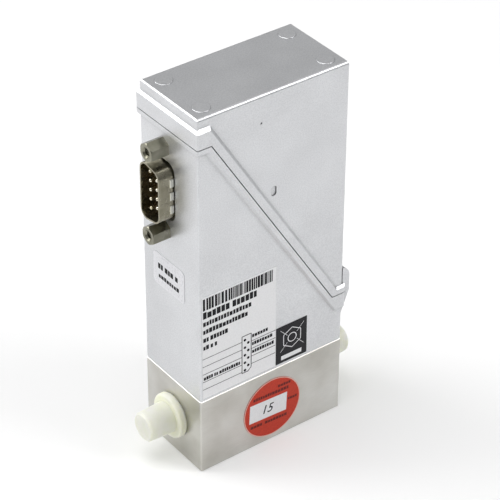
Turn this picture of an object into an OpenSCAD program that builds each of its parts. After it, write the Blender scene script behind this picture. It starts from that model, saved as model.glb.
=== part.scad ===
// Thermal mass flow meter for gases.
// A stainless base carries the gas through a laminar element of etched discs.
// A heated capillary on top of the base takes a small share of the flow, and a
// board above it turns the reading into a signal on the nine-pin connector.
// Two castings close it, parted along a stepped, bevelled seam.
// Frame: origin at the centre of the bottom face, +X downstream, +Z up. The
// connector looks along -X and the long printed side along -Y.

/* [Base] */
// Length of the base along the flow
base_l = 47; // [46.5:0.5:48]
// Width of the base across the flow
base_w = 25; // [25:0.5:26]
// Height of the base
base_h = 24; // [23.5:0.5:25]
// Height of the flow axis above the bottom face
port_z = 12.2; // [11.8:0.1:12.6]
// Radius of the tapped port bores
port_r = 4.3; // [4.2:0.05:4.4]
// Depth of each port bore
port_depth = 9; // [8:0.5:9]
// Radius of the bore that holds the laminar element
core_r = 3.9; // [3.7:0.05:3.9]
// Distance between the two mounting holes in the bottom
foot_pitch = 34; // [30:1:35]
// Depth of the two mounting holes
foot_depth = 6; // [5:0.5:6]

/* [Housing] */
// Height of the top face
total_h = 111; // [110.5:0.5:112]
// Wall thickness of the two castings
wall = 2; // [1.8:0.1:2.1]
// How far each long side leans in from the base to the top
side_draft = 0.35; // [0.1:0.05:0.5]
// Radius of the upright corners
corner_r = 0.7; // [0.4:0.1:0.9]
// Bevel at both ends of the top face
top_bevel = 0.3; // [0.2:0.05:0.6]
// Radius of the long edges of the top face
top_round = 0.9; // [0.6:0.1:1.2]

/* [Seam] */
// Height of the seam across the connector face
seam_front_z = 102.6; // [102.4:0.1:102.8]
// Height of the seam across the rear face
seam_rear_z = 39.6; // [39.5:0.1:39.8]
// Distance from the connector face to where the seam turns down
seam_turn = 3.6; // [3.4:0.1:3.8]
// Distance from the connector face to where the seam levels out
seam_level = 43; // [42.9:0.1:43.1]
// Width of the open joint line between the castings
seam_gap = 0.25; // [0.15:0.05:0.35]
// How far the rims stand out from the end walls
rim_proud = 0.65; // [0.5:0.05:0.8]
// Width of the cover's rim across the connector face
cover_rim_front = 4.7; // [4:0.1:5]
// Width of the cover's rim along the slope
cover_rim_slope = 2.3; // [2:0.1:2.6]
// Width of the cover's rim beside the rear face
cover_rim_rear = 1.8; // [1.5:0.1:2]
// Width of the lower housing's rim
lower_rim = 1.3; // [1:0.1:1.5]
// Bevel that leads each rim back to the wall
rim_bevel = 1.05; // [0.8:0.05:1.1]

/* [Connector] */
// Height of the connector's centre
plug_z = 83.8; // [82:0.1:84.5]
// Sideways place of the connector's centre
plug_y = 2.3; // [2:0.1:2.6]
// Height of the connector's shell above the wall
plug_out = 4.5; // [4:0.1:5]
// Distance between the two jackscrews
jack_pitch = 24.99; // [24.9:0.01:25.1]
// Height of the jackscrews above the wall
jack_out = 5.3; // [4.8:0.1:5.6]

/* [Port caps] */
// Radius of the flange of a cap
cap_flange_r = 6.5; // [6:0.1:7]
// Thickness of the flange
cap_flange_t = 2.3; // [1.8:0.1:2.6]
// Radius of the grip where it leaves the flange
cap_grip_r = 4.5; // [4:0.1:4.8]
// How far a cap reaches out of the base
cap_out = 10.2; // [8:0.1:11]

/* [Labels] */
// Radius of the round label on the base
round_label_r = 9.5; // [8:0.1:9.8]
// Thickness of every label
label_t = 0.1; // [0.08:0.01:0.15]

/* [Flow element] */
// Thickness of one etched disc
disc_t = 1.2; // [1:0.05:1.25]
// Number of channels etched in a disc
channel_n = 16; // [12:1:20]

/* [Hidden] */
disc_n = 8;

$fn = 64;
far = 200;          // longer than anything in the meter
slip = 0.02;        // clearance of parts that seat in each other

// Base and housing
half_l = base_l / 2;
half_w = base_w / 2;
in_l = half_l - wall;
in_w = half_w - wall;
edge_bevel = 0.3;
floor_t = 2;
tongue_t = 0.9;     // thickness of the tongue that the cover slides over
tongue_h = 1.5;     // height of the tongue above the seam
rim_y = half_w + 0.55;
rim_rear_x = half_l + 0.9;
rim_corner_front = 0.4;
rim_corner_rear = 1.2;
rim_rear_drop = 4.5; // how far the lower rim reaches down beside the rear face

// Seam: its sloped run leaves the turn at slope_a below the horizontal
turn_x = seam_turn - half_l;
slope_a = atan2(seam_front_z - seam_rear_z, seam_level - seam_turn);

// Lug of the lower housing that stands up behind the cover and takes the cover screw
lug_out = 2.55;     // how far it stands out from the rear face
lug_y = half_w - 0.35;
lug_gap = 0.2;      // between the lug and the cover
lug_low = -7;       // foot, outer face and the centre of its round top, from the seam
lug_face = -0.4;
lug_round = 4.5;
lug_r = 3;
cover_screw_z = seam_rear_z + 3.7;
head_sink = 1.4;

// Screws: tapping hole, core, clearance hole and cap head of the three-millimetre size
tap_r = 1.25;
screw_r = tap_r - slip;
clear_r = 1.6;
head_r = 2.6;
head_h = 2.4;
foot_r = 1.65;
tap_depth = 6;

// Capillary sensor
tap_x = 9.5;        // the two bypass bores
bypass_r = 0.8;
seal_seat_r = 2.2;
seal_seat_h = 1;
block_l = 31;
block_w = 18;
block_h = 6;
block_top = base_h + block_h;
sensor_screw_x = 12.7;
sensor_screw_y = 6.3;
tube_r = 0.5;
tube_bore = 0.3;
tube_bend = 3;
tube_top = base_h + 18;
winding_x = 3.2;
winding_l = 4.6;
winding_r = 1.1;
can_l = 23.2;
can_w = 7.2;
can_t = 1;
can_top = base_h + 22;
flange_t = 1.5;
flex_w = 5.6;
flex_t = 0.2;

// Screws of the lower housing, between the sensor block and the end walls
housing_screw_x = (block_l / 2 + in_l) / 2 + 0.15;
housing_screw_y = 7.4;

// Laminar element
disc_r = core_r - slip;
core_shaft_r = 1;
stack_l = disc_n * disc_t;
screen_r = core_r + 0.15;
screen_x = -(half_l - port_depth - 2.5);
screen_t = 0.4;
ring_t = 0.6;

// Board
board_t = 1.6;
board_x0 = -16.9;
board_x1 = 17;
board_z0 = 49;
board_z1 = 104;
boss_r = 2.6;
boss_z = 52;
boss_x = [-13, 7];

// Nine-pin connector
shell_t = 0.45;
shell_w = 8.36;
shell_l = 16.92;
shell_corner = 2.6;
dimple_pitch = 3.95;
plug_wall = 1.4;    // wall left in front of the connector's flange
plate_x = -half_l + plug_wall;
plate_t = 0.8;
plate_l = 30.8;
plate_w = 12.5;
pin_pitch = 2.77;
pin_row = 1.42;
pin_r = 0.5;
cup_r = 0.6;
insulator_x0 = plate_x - 0.4;
insulator_x1 = -17.4;
jack_flat = 4.8;
jack_stud_r = 1.4;
jack_tap_r = 1.1;
nut_t = 2;
nut_flat = 6;

// Labels on the -Y side: gap above the base, and where the type label ends
label_low = 0.9;
type_l = 24.5;

// ---------------------------------------------------------------- helpers

// A bar along X with the outline points given in Y and Z
module along_x(points, x0 = -far, x1 = far)
    translate([x0, 0, 0]) rotate([90, 0, 90]) linear_extrude(x1 - x0) polygon(points);

// A slab across Y with the outline points given in X and Z
module across_y(points, y0 = -far, y1 = far)
    translate([0, y1, 0]) rotate([90, 0, 0]) linear_extrude(y1 - y0) polygon(points);

// Rod along X
module rod_x(r, x0, x1)
    translate([x0, 0, 0]) rotate([0, 90, 0]) cylinder(r = r, h = x1 - x0);

// Cone along X
module cone_x(r0, r1, x0, x1)
    translate([x0, 0, 0]) rotate([0, 90, 0]) cylinder(r1 = r0, r2 = r1, h = x1 - x0);

// Six-sided rod along X with its corners up and down
module hex_x(flat, x0, x1)
    translate([x0, 0, 0]) rotate([0, 90, 0]) cylinder(r = flat / sqrt(3), h = x1 - x0, $fn = 6);

module round_rect(l, w, r) {
    square([l - 2 * r, w], center = true);
    square([l, w - 2 * r], center = true);
    for (sx = [-1, 1], sy = [-1, 1])
        translate([sx * (l / 2 - r), sy * (w / 2 - r)]) circle(r);
}

// Upright block with rounded corners
module round_block(l, w, r, z0, z1)
    translate([0, 0, z0]) linear_extrude(z1 - z0) round_rect(l, w, r);

// The straight side of an outline, moved out by r
function outer_side(a, b, r) =
    let (d = (b - a) / norm(b - a), out = r * [d[1], -d[0]]) [a + out, b + out];

// Outline with a true arc of radius r around each centre, given anticlockwise.
// Its sides run a hair inside the arcs' tangents, so that line and arc cross cleanly.
module arc_cornered(centres, r) {
    n = len(centres);
    hair = 0.002;
    polygon([for (i = [0:n - 1]) each outer_side(centres[i], centres[(i + 1) % n], r - hair)]);
    for (c = centres) translate(c) circle(r);
}

// Rectangle with its corners cut at 45 degrees, centred across and standing on zero
function bevelled(l, h, b) = [
    [-l / 2 + b, 0], [l / 2 - b, 0], [l / 2, b], [l / 2, h - b],
    [l / 2 - b, h], [-l / 2 + b, h], [-l / 2, h - b], [-l / 2, b]
];

// Cap-head screw standing on its shank, the underside of its head at zero
module cap_screw(shank) {
    translate([0, 0, -shank]) cylinder(r = screw_r, h = shank);
    difference() {
        cylinder(r = head_r, h = head_h);
        translate([0, 0, head_h - 1.3]) cylinder(r = 1.45, h = 2, $fn = 6);
    }
}

module four_corners(x, y)
    for (sx = [-1, 1], sy = [-1, 1]) translate([sx * x, sy * y, 0]) children();

// ---------------------------------------------------------------- base

module base_block() color([0.72, 0.71, 0.68]) difference() {
    intersection() {
        along_x(bevelled(base_w, base_h, edge_bevel));
        across_y(bevelled(base_l, base_h, edge_bevel));
        linear_extrude(base_h) translate([0, -half_w]) polygon(bevelled(base_l, base_w, edge_bevel));
    }
    translate([0, 0, port_z]) {
        rod_x(core_r, -far, far);
        for (side = [-1, 1]) scale([side, 1, 1]) {
            rod_x(port_r, half_l - port_depth, far);
            cone_x(port_r, port_r + 0.6, half_l - 0.6, half_l + 0.01);
        }
        // seat and groove of the inlet screen and its ring
        rod_x(screen_r, -half_l, screen_x);
        rod_x(port_r + 0.05, screen_x - screen_t - ring_t - slip, screen_x - screen_t + slip);
    }
    // bypass bores up to the sensor, each with a seat for its seal
    for (side = [-1, 1]) translate([side * tap_x, 0, 0]) {
        translate([0, 0, port_z]) cylinder(r = bypass_r, h = base_h);
        translate([0, 0, base_h - seal_seat_h]) cylinder(r = seal_seat_r, h = base_h);
    }
    for (place = [[sensor_screw_x, sensor_screw_y], [housing_screw_x, housing_screw_y]])
        four_corners(place[0], place[1]) translate([0, 0, base_h - tap_depth]) cylinder(r = tap_r, h = far);
    for (side = [-1, 1]) translate([side * foot_pitch / 2, 0, -1]) cylinder(r = foot_r, h = foot_depth + 1);
}

// ---------------------------------------------------------------- port caps

// Moulded cap on the +X side: plug, flange with a soft shoulder, and a hollow grip
module port_cap() translate([0, 0, port_z]) rotate([0, 90, 0]) {
    plug_l = 6.5;
    skin = 1.1;
    shoulder = 0.7;
    translate([0, 0, half_l]) rotate_extrude() {
        difference() {
            polygon([
                [0, -plug_l], [port_r - 0.15, -plug_l], [port_r - 0.03, 0],
                [cap_flange_r - 0.4, 0], [cap_flange_r, 0.5], [cap_flange_r, cap_flange_t - shoulder],
                [cap_flange_r - shoulder, cap_flange_t], [cap_grip_r, cap_flange_t],
                [cap_grip_r - 0.3, cap_out - 0.5], [cap_grip_r - 0.8, cap_out], [0, cap_out]
            ]);
            polygon([
                [-1, -plug_l - 1], [port_r - 0.15 - skin, -plug_l - 1],
                [port_r - skin, 0], [cap_grip_r - 0.3 - skin, cap_out - skin], [-1, cap_out - skin]
            ]);
        }
        translate([cap_flange_r - shoulder, cap_flange_t - shoulder]) intersection() {
            circle(shoulder);
            square(shoulder);
        }
    }
}

module inlet_cap() color([0.86, 0.89, 0.80]) mirror([1, 0, 0]) port_cap();
module outlet_cap() color([0.86, 0.89, 0.80]) port_cap();

// ---------------------------------------------------------------- laminar element

// Perforated disc that keeps grit out of the channels
module inlet_screen() color([0.75, 0.75, 0.76]) {
    hole_r = 0.33;
    ring_pitch = 1.1;
    translate([screen_x - screen_t, 0, port_z]) rotate([0, 90, 0]) linear_extrude(screen_t) difference() {
        circle(screen_r - slip);
        circle(hole_r, $fn = 16);
        for (ring = [1, 2, 3], i = [0:6 * ring - 1])
            rotate(i * 60 / ring) translate([ring * ring_pitch, 0]) circle(hole_r, $fn = 16);
    }
}

// Split ring that holds the screen, sprung into its groove
module screen_ring() color([0.35, 0.35, 0.37])
    translate([screen_x - screen_t - ring_t, 0, port_z]) rotate([0, 90, 0]) linear_extrude(ring_t - slip) {
        difference() {
            circle(port_r);
            circle(port_r - 0.9);
            polygon([[0, 0], [6, -2.4], [6, 2.4]]);
        }
        for (side = [-1, 1]) rotate(side * 28) translate([port_r - 1.1, 0]) difference() {
            circle(0.75);
            circle(0.35);
        }
    }

// Shank and inlet flange that carry the stack of discs
module flow_core() color([0.78, 0.78, 0.79]) translate([0, 0, port_z]) {
    flange = 1.2;
    rod_x(core_shaft_r, -stack_l / 2 - flange, stack_l / 2 + 2.4);
    difference() {
        rod_x(disc_r, -stack_l / 2 - flange, -stack_l / 2);
        for (i = [0:5]) rotate([60 * i, 0, 0]) translate([0, 2.4, 0]) rod_x(0.75, -far, far);
    }
}

// Disc with channels etched across one face, from an inner ring groove to the rim
module flow_disc(i) color([0.80, 0.80, 0.82]) {
    etch = 0.35;
    channel_w = 0.4;
    x0 = (i - 1) * disc_t - stack_l / 2;
    translate([x0, 0, port_z]) rotate([i * 180 / channel_n, 0, 0]) difference() {
        rod_x(disc_r, 0, disc_t);
        rod_x(core_shaft_r + slip, -1, disc_t + 1);
        difference() {
            rod_x(1.9, disc_t - etch, disc_t + 1);
            rod_x(1.4, 0, disc_t + 1);
        }
        for (k = [0:channel_n - 1]) rotate([k * 360 / channel_n, 0, 0])
            translate([disc_t - etch, 1.7, -channel_w / 2]) cube([1, disc_r, channel_w]);
        // notches in the rim that let the gas reach every disc
        for (k = [0:3]) rotate([90 * k, 0, 0]) translate([-1, disc_r - 0.5, -0.5]) cube([disc_t + 2, 1, 1]);
    }
}

module core_nut() color([0.70, 0.70, 0.71]) translate([0, 0, port_z]) difference() {
    hex_x(4.4, stack_l / 2, stack_l / 2 + 1.8);
    rod_x(core_shaft_r + slip, 0, far);
}

// ---------------------------------------------------------------- capillary sensor

module sensor_block() color([0.74, 0.73, 0.71]) difference() {
    intersection() {
        round_block(block_l, block_w, 1.5, base_h, block_top);
        across_y(bevelled(block_l, block_top, 0.4));
    }
    for (side = [-1, 1]) translate([side * tap_x, 0, 0]) cylinder(r = tube_r + slip, h = far);
    four_corners(sensor_screw_x, sensor_screw_y) cylinder(r = clear_r, h = far);
}

module sensor_seals() color([0.12, 0.12, 0.12]) for (side = [-1, 1])
    translate([side * tap_x, 0, base_h - seal_seat_h / 2]) rotate_extrude()
        translate([1.5, 0]) circle(seal_seat_h / 2 - 0.005);

// Capillary, bent up from one bypass bore and down into the other
module sensor_tube() color([0.82, 0.82, 0.83]) {
    leg = tube_top - tube_bend - base_h;
    for (side = [-1, 1]) {
        translate([side * tap_x, 0, base_h]) difference() {
            cylinder(r = tube_r, h = leg);
            translate([0, 0, -1]) cylinder(r = tube_bore, h = leg + 2);
        }
        translate([side * (tap_x - tube_bend), 0, tube_top - tube_bend])
            rotate([90, 0, 0]) rotate([0, 0, side > 0 ? 0 : 90]) rotate_extrude(angle = 90)
                translate([tube_bend, 0]) difference() {
                    circle(tube_r);
                    circle(tube_bore);
                }
    }
    translate([0, 0, tube_top]) difference() {
        rod_x(tube_r, -tap_x + tube_bend, tap_x - tube_bend);
        rod_x(tube_bore, -far, far);
    }
}

// Resistance winding, its layers of wire showing as rounded ribs
module winding(x) translate([x - winding_l / 2, 0, tube_top]) rotate([0, 90, 0]) {
    turns = 14;
    wire = winding_l / turns;
    rotate_extrude() {
        translate([tube_r + slip, 0]) square([winding_r - tube_r - wire / 2 - slip, winding_l]);
        for (k = [0:turns - 1])
            translate([winding_r - wire / 2, (k + 0.5) * wire]) circle(wire / 2, $fn = 24);
    }
}

module winding_upstream() color([0.72, 0.40, 0.20]) winding(-winding_x);
module winding_downstream() color([0.72, 0.40, 0.20]) winding(winding_x);

// Can over the capillary, flanged so that the sensor screws hold it to the block
module sensor_cover() color([0.70, 0.71, 0.73]) difference() {
    union() {
        round_block(block_l, block_w, 1.5, block_top, block_top + flange_t);
        round_block(can_l, can_w, 1.5, block_top, can_top);
    }
    round_block(can_l - 2 * can_t, can_w - 2 * can_t, 0.8, block_top - 1, can_top - can_t);
    four_corners(sensor_screw_x, sensor_screw_y) cylinder(r = clear_r, h = far);
    translate([-3.2, -0.5, can_top - 2]) cube([6.4, 1, 3]);
}

module sensor_screws() color([0.30, 0.30, 0.32])
    four_corners(sensor_screw_x, sensor_screw_y) translate([0, 0, block_top + flange_t])
        cap_screw(block_h + flange_t + 5);

// Flexible strip from the windings to the board
module sensor_flex() color([0.75, 0.45, 0.12]) {
    low = tube_top + winding_r + slip;
    translate([-flex_w / 2, -flex_t / 2, low]) cube([flex_w, flex_t, board_z0 + 4.5 - low]);
}

// ---------------------------------------------------------------- seam

// X of the sloped run of the seam at height z, moved out at right angles by d
function slope_x(d, z) = turn_x + (d - (z - seam_front_z) * cos(slope_a)) / sin(slope_a);

// All that lies below the seam, with its three runs moved up by the same distance
module below_seam(up) across_y([
    [-far, -far], [-far, seam_front_z + up],
    [slope_x(up, seam_front_z + up), seam_front_z + up],
    [slope_x(up, seam_rear_z + up), seam_rear_z + up],
    [far, seam_rear_z + up], [far, -far]
]);

// Long bar as wide as the rims, its upper edges bevelled, topped at height h
module ridge(h) along_x([
    [-rim_y, -far], [rim_y, -far], [rim_y, h],
    [rim_y - rim_bevel, h + rim_bevel], [-rim_y + rim_bevel, h + rim_bevel], [-rim_y, h]
]);

// The same bar hanging, its lower edges bevelled, ended at height h
module ridge_under(h) mirror([0, 0, 1]) ridge(-h);

module on_slope() translate([turn_x, 0, seam_front_z]) rotate([0, slope_a, 0]) children();

// Plan of the rims: a little larger than the walls, crisp in front and softer behind
module rim_plan(z0, z1) {
    front = half_l + rim_proud;
    intersection() {
        translate([(rim_rear_x - front) / 2, 0, 0])
            round_block(rim_rear_x + front, 2 * rim_y, rim_corner_front, z0, z1);
        translate([rim_rear_x / 2 - front, 0, 0])
            round_block(rim_rear_x + 2 * front, 2 * rim_y, rim_corner_rear, z0, z1);
    }
}

// Rim of the cover, which the bevels lead back to the walls above it; it stops at the lug
module cover_rim() {
    top = seam_front_z + cover_rim_front;
    front = half_l + rim_proud;
    difference() {
        intersection() {
            rim_plan(base_h, total_h);
            across_y([[-front, 0], [far, 0], [far, far], [-front + far - top, far], [-front, top]]);
            union() {
                intersection() {
                    ridge(top);
                    on_slope() ridge(cover_rim_slope);
                }
                ridge(seam_rear_z + cover_rim_rear);
            }
        }
        translate([half_l - 0.3, -lug_y - lug_gap, 0]) cube([far, 2 * (lug_y + lug_gap), far]);
    }
}

// Rim of the lower housing, bevelled back to the walls below it
module housing_rim() {
    low = seam_front_z - lower_rim;
    front = half_l + rim_proud;
    intersection() {
        rim_plan(base_h, total_h);
        across_y([
            [-front, low], [-front + rim_bevel, low - rim_bevel], [-front + rim_bevel, 0],
            [far, 0], [far, far], [-front, far]
        ]);
        union() {
            ridge_under(low);
            on_slope() ridge_under(-lower_rim);
        }
        ridge_under(seam_rear_z - rim_rear_drop);
    }
}

// ---------------------------------------------------------------- castings

// Half the width over the long sides at height z
function side_y(z) = half_w - side_draft * (z - base_h) / (total_h - base_h);

// Outside of the two castings without their rims
module housing_block() intersection() {
    round_block(base_l, base_w, corner_r, base_h, total_h);
    translate([-far, 0, 0]) rotate([90, 0, 90]) linear_extrude(2 * far) {
        low = base_h - 2 * top_round;
        high = total_h - top_round;
        arc_cornered([
            [top_round - side_y(low), low], [side_y(low) - top_round, low],
            [side_y(high) - top_round, high], [top_round - side_y(high), high]
        ], top_round);
    }
    across_y([
        [-half_l, 0], [half_l, 0], [half_l, total_h - top_bevel], [half_l - top_bevel, total_h],
        [-half_l + top_bevel, total_h], [-half_l, total_h - top_bevel]
    ]);
}

// Lug across the rear face: it grows out of the wall below the seam and ends round above it
module rear_lug() translate([half_l, lug_y, seam_rear_z]) rotate([90, 0, 0]) linear_extrude(2 * lug_y) {
    hair = 0.002;   // lets the face cross the round cleanly
    polygon([
        [-1, lug_low], [0, lug_low], [lug_out - hair, lug_face], [lug_out - hair, lug_round],
        [lug_gap, lug_round], [lug_gap, 0], [-1, 0]
    ]);
    intersection() {
        translate([lug_out - lug_r, lug_round]) circle(lug_r);
        translate([lug_gap, lug_round - 2]) square(far);
    }
}

module cavity() round_block(2 * in_l, 2 * in_w, 0.6, base_h + floor_t, total_h - wall);

// Outside of the tongue, or with room around it the socket that takes it
module tongue_block(room, z0, z1)
    round_block(2 * (in_l + tongue_t + room), 2 * (in_w + tongue_t + room), 0.6, z0, z1);

// Opening in the connector face and the pocket for the connector's flange behind it
module plug_openings() translate([0, plug_y, plug_z]) rotate([90, 0, 90]) {
    translate([0, 0, -far]) linear_extrude(far) round_rect(9.2, 17.6, 2.9);
    for (side = [-1, 1]) translate([0, side * jack_pitch / 2, -far]) cylinder(r = clear_r, h = far);
    translate([0, 0, plate_x]) linear_extrude(plug_wall) round_rect(plate_w + 0.4, plate_l + 0.4, 1);
}

module lower_housing() color([0.80, 0.81, 0.83]) {
    difference() {
        union() {
            intersection() {
                union() {
                    housing_block();
                    housing_rim();
                }
                below_seam(0);
            }
            rear_lug();
            // tongue that the cover slides over
            intersection() {
                tongue_block(0, base_h + 1, total_h - wall - 1);
                below_seam(tongue_h);
            }
        }
        cavity();
        // window for the sensor block, which leaves a floor at both ends
        translate([-block_l / 2 - 0.4, -in_w, 0]) cube([block_l + 0.8, 2 * in_w, base_h + floor_t + 1]);
        four_corners(housing_screw_x, housing_screw_y) cylinder(r = clear_r, h = base_h + floor_t + 1);
        plug_openings();
        // hole and head recess of the cover screw
        translate([0, 0, cover_screw_z]) {
            rod_x(clear_r, half_l, far);
            rod_x(head_r + 0.25, half_l + lug_out - head_sink, far);
        }
    }
    // two bosses for the board
    for (x = boss_x) translate([x, 0, boss_z]) rotate([-90, 0, 0]) difference() {
        translate([0, 0, plug_y + board_t / 2]) cylinder(r = boss_r, h = in_w + 0.5 - plug_y - board_t / 2);
        cylinder(r = tap_r, h = in_w - 1);
    }
    // lug that the cover screw bites into
    difference() {
        union() {
            translate([in_l - 3.2, -4, seam_rear_z - 6.6]) cube([3, 8, 14.5]);
            translate([in_l - 0.4, -4, seam_rear_z - 6.6]) cube([1, 8, 6]);
        }
        translate([0, 0, cover_screw_z]) rod_x(tap_r, 0, in_l + 1);
    }
}

// Low round pad that an ejector pin left
module ejector_mark() {
    cylinder(r = 2.35, h = 0.55);
    translate([0, 0, 0.55]) cylinder(r1 = 2.35, r2 = 2.23, h = 0.09);
}

module upper_cover() color([0.80, 0.81, 0.83]) difference() {
    union() {
        housing_block();
        cover_rim();
        four_corners(half_l - 4.3, half_w - 4.6) translate([0, 0, total_h - 0.5]) ejector_mark();
    }
    below_seam(seam_gap);
    cavity();
    intersection() {
        tongue_block(0.1, base_h + 3, total_h - wall);
        below_seam(tongue_h + seam_gap);
    }
    // shallow moulding marks in the -Y side: an oval and a pit
    on_side() {
        translate([0, 81.4 - base_h, -0.3]) linear_extrude(1) round_rect(1.7, 3, 0.8);
        translate([-4.1, 103 - base_h, -0.2]) cylinder(r = 0.32, h = 1);
    }
    // hole for the cover screw
    translate([0, 0, cover_screw_z]) rod_x(clear_r, in_l - 1, far);
}

module housing_screws() color([0.30, 0.30, 0.32]) four_corners(housing_screw_x, housing_screw_y)
    translate([0, 0, base_h + floor_t]) cap_screw(floor_t + 5);

// Low cheese head with a cross recess
module cover_screw() color([0.65, 0.65, 0.66]) {
    seat = half_l + lug_out - head_sink;
    translate([0, 0, cover_screw_z]) difference() {
        union() {
            rod_x(screw_r, in_l - 3.2, seat);
            rod_x(head_r, seat, seat + 1.2);
        }
        for (a = [0, 90]) rotate([a, 0, 0]) translate([seat + 0.4, -1.5, -0.3]) cube([1, 3, 0.6]);
    }
}

// ---------------------------------------------------------------- board

module main_board() color([0.10, 0.35, 0.18])
    translate([0, plug_y + board_t / 2, 0]) rotate([90, 0, 0]) linear_extrude(board_t) difference() {
        translate([board_x0, board_z0]) square([board_x1 - board_x0, board_z1 - board_z0]);
        for (x = boss_x) translate([x, boss_z]) circle(clear_r);
        for (x = [board_x0, board_x1]) translate([x, board_z1]) rotate(45) square(3, center = true);
    }

module board_screws() color([0.65, 0.65, 0.66]) for (x = boss_x)
    translate([x, plug_y - board_t / 2, boss_z]) rotate([90, 0, 0]) cap_screw(board_t + 5);

// A flat package on the -Y face of the board, with rows of legs along its sides
module chip(x, z, l, w, h, legs) translate([x, plug_y - board_t / 2, z]) rotate([90, 0, 0]) {
    translate([-l / 2, -w / 2, 0.1]) cube([l, w, h - 0.1]);
    pitch = w / (legs + 1);
    for (side = [-1, 1], k = [1:legs])
        translate([side * (l / 2 + 0.3) - 0.4, -w / 2 + k * pitch - 0.2, 0]) cube([0.8, 0.4, h / 2]);
}

module processor_chip() color([0.13, 0.13, 0.14]) chip(-1, 86, 10, 10, 1.4, 12);
module amplifier_chip() color([0.13, 0.13, 0.14]) chip(7, 69, 5, 8, 1.6, 6);
module regulator_chip() color([0.13, 0.13, 0.14]) chip(-8.5, 68, 6.5, 6, 2.2, 2);

// Two can capacitors on the +Y face
module capacitors() color([0.70, 0.71, 0.74]) for (x = [-7, 4])
    translate([x, plug_y + board_t / 2, 95]) rotate([-90, 0, 0]) {
        translate([-3.4, -3.4, 0]) cube([6.8, 6.8, 1]);
        translate([0, 0, 1]) cylinder(r = 3.15, h = 4.6);
    }

module crystal_can() color([0.72, 0.72, 0.74]) translate([9.5, plug_y - board_t / 2, 88])
    rotate([90, 0, 0]) linear_extrude(3.4) round_rect(4.4, 11, 2.1);

// Socket that takes the sensor's flexible strip
module sensor_header() color([0.88, 0.86, 0.80]) difference() {
    translate([-3.9, -1, board_z0 + 1]) cube([7.8, plug_y - board_t / 2 + 1, 5]);
    translate([-flex_w / 2 - slip, -flex_t / 2 - slip, board_z0])
        cube([flex_w + 2 * slip, flex_t + 2 * slip, 4.6]);
}

// ---------------------------------------------------------------- connector

// Two-sided outline of the nine-pin shell, wide towards +Y, shrunk all round by t
module shell_outline(t) {
    y = shell_w / 2 - shell_corner;
    z = shell_l / 2 - shell_corner;
    narrow = z - 2 * y * tan(10);
    arc_cornered([[-y, -narrow], [y, -z], [y, z], [-y, narrow]], shell_corner - t);
}

module at_plug(x) translate([x, plug_y, plug_z]) rotate([90, 0, 90]) children();

// Outline of a low pad with sloping ends, its root sunk into the sheet
function pad(l) = let (h = 0.32, slope = 0.24) [
    [-l / 2, -shell_t / 2], [l / 2, -shell_t / 2], [l / 2, 0],
    [l / 2 - slope, h], [-l / 2 + slope, h], [-l / 2, 0]
];

// Contact dimple pressed out of the shell, long in Z and raised along +Y
module dimple() intersection() {
    translate([0, 0, -3]) linear_extrude(6) polygon(pad(1.32));
    translate([3, 0, 0]) rotate([0, -90, 0]) linear_extrude(6) polygon(pad(2.6));
}

module plug_shell() color([0.62, 0.60, 0.52]) {
    difference() {
        union() {
            at_plug(-half_l - plug_out) linear_extrude(plug_out + plug_wall + plate_t) shell_outline(0);
            at_plug(plate_x) linear_extrude(plate_t) round_rect(plate_w, plate_l, 0.8);
            for (turn = [0, 180], k = [-1:1]) translate([-half_l - 0.68, plug_y, plug_z + k * dimple_pitch])
                rotate([turn, 0, 0]) translate([0, shell_w / 2, 0]) dimple();
        }
        at_plug(-far) linear_extrude(far) shell_outline(shell_t);
        for (side = [-1, 1]) translate([0, plug_y, plug_z + side * jack_pitch / 2]) rod_x(1.55, -far, 0);
    }
}

// Places of the nine contacts across the connector: five on the wide side, four on the other
PINS = concat(
    [for (k = [-2:2]) [pin_row, k * pin_pitch]],
    [for (k = [-1.5:1.5]) [-pin_row, k * pin_pitch]]
);

module plug_insulator() color([0.25, 0.17, 0.08]) difference() {
    at_plug(insulator_x0) linear_extrude(insulator_x1 - insulator_x0) shell_outline(shell_t + slip);
    for (p = PINS) at_plug(-far) translate(p) cylinder(r = pin_r, h = 2 * far, $fn = 32);
}

// Contacts: a round-nosed pin in front, a solder cup on the board's face behind
module plug_pins() color([0.85, 0.80, 0.62]) for (p = PINS) {
    tip = -half_l - plug_out + 1;
    at_plug(tip + pin_r) translate(p) {
        sphere(r = pin_r, $fn = 32);
        cylinder(r = pin_r, h = insulator_x1 - tip - pin_r, $fn = 32);
    }
    at_plug(insulator_x1) translate(p) difference() {
        cylinder(r = cup_r, h = 3.2, $fn = 32);
        translate([0, 0, 1.2]) cylinder(r = 0.42, h = 4, $fn = 32);
    }
}

// Hexagonal post with a tapped mouth, its stud held by a nut behind the flange
module jackscrew() difference() {
    union() {
        intersection() {
            hex_x(jack_flat, -half_l - jack_out, -half_l);
            cone_x(jack_flat / 2, jack_flat / 2 + 10, -half_l - jack_out - 0.1, -half_l - jack_out + 9.9);
        }
        rod_x(jack_stud_r, -half_l, plate_x + plate_t + nut_t + 0.5);
    }
    rod_x(jack_tap_r, -far, -half_l - jack_out + 5);
    cone_x(jack_tap_r + 0.5, jack_tap_r, -half_l - jack_out - 0.01, -half_l - jack_out + 0.5);
}

module jackscrew_upper() color([0.60, 0.57, 0.50])
    translate([0, plug_y, plug_z + jack_pitch / 2]) jackscrew();

module jackscrew_lower() color([0.60, 0.57, 0.50])
    translate([0, plug_y, plug_z - jack_pitch / 2]) jackscrew();

module jackscrew_nuts() color([0.65, 0.64, 0.60]) for (side = [-1, 1])
    translate([0, plug_y, plug_z + side * jack_pitch / 2]) difference() {
        hex_x(nut_flat, plate_x + plate_t, plate_x + plate_t + nut_t);
        rod_x(jack_stud_r + slip, -far, 0);
    }

// ---------------------------------------------------------------- labels

// Lays a shape, drawn in X and Z, on the drafted -Y side of the castings
module on_side() translate([0, -half_w, base_h])
    rotate([90 - atan2(side_draft, total_h - base_h), 0, 0]) children();

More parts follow.
